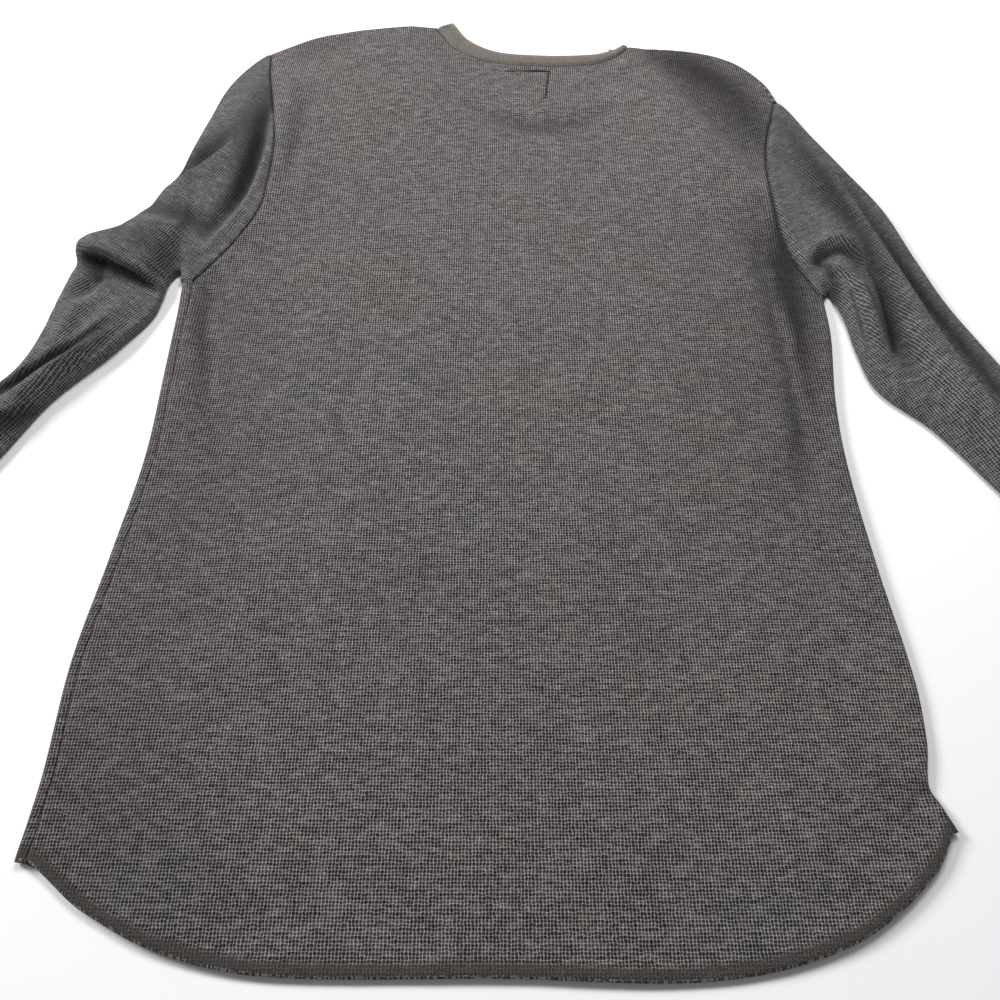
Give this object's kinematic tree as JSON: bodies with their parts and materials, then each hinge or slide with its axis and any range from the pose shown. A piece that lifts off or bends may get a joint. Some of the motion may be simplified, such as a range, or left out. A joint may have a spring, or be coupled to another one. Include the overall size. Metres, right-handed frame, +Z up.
{
  "type": "thermal top",
  "caption": "Long-sleeved waffle-knit thermal top laid flat with its back upward: drop-tail hem, ribbed crew neckband, set-in sleeves, one rumpled at the elbow and one spread out",
  "frame": {"origin": "centre of the underside of the bounding box, on the surface the top lies on", "axes": "+Z up out of the surface, +Y from the hem to the neck, +X to the right when the back faces up"},
  "size_m": [1.033, 0.8726, 0.0286],
  "materials": {
    "waffle_knit": "heather charcoal cotton waffle knit, matte",
    "sleeve_waffle_knit": "the same heather charcoal waffle knit, cooler in the sleeves",
    "neck_rib": "fine rib knit, matte, slightly olive"
  },
  "bodies": {
    "root": {"back": "waffle_knit", "front": "waffle_knit", "sleeve_left": "sleeve_waffle_knit", "sleeve_right": "sleeve_waffle_knit", "neckband": "neck_rib"}
  },
  "joints": []
}
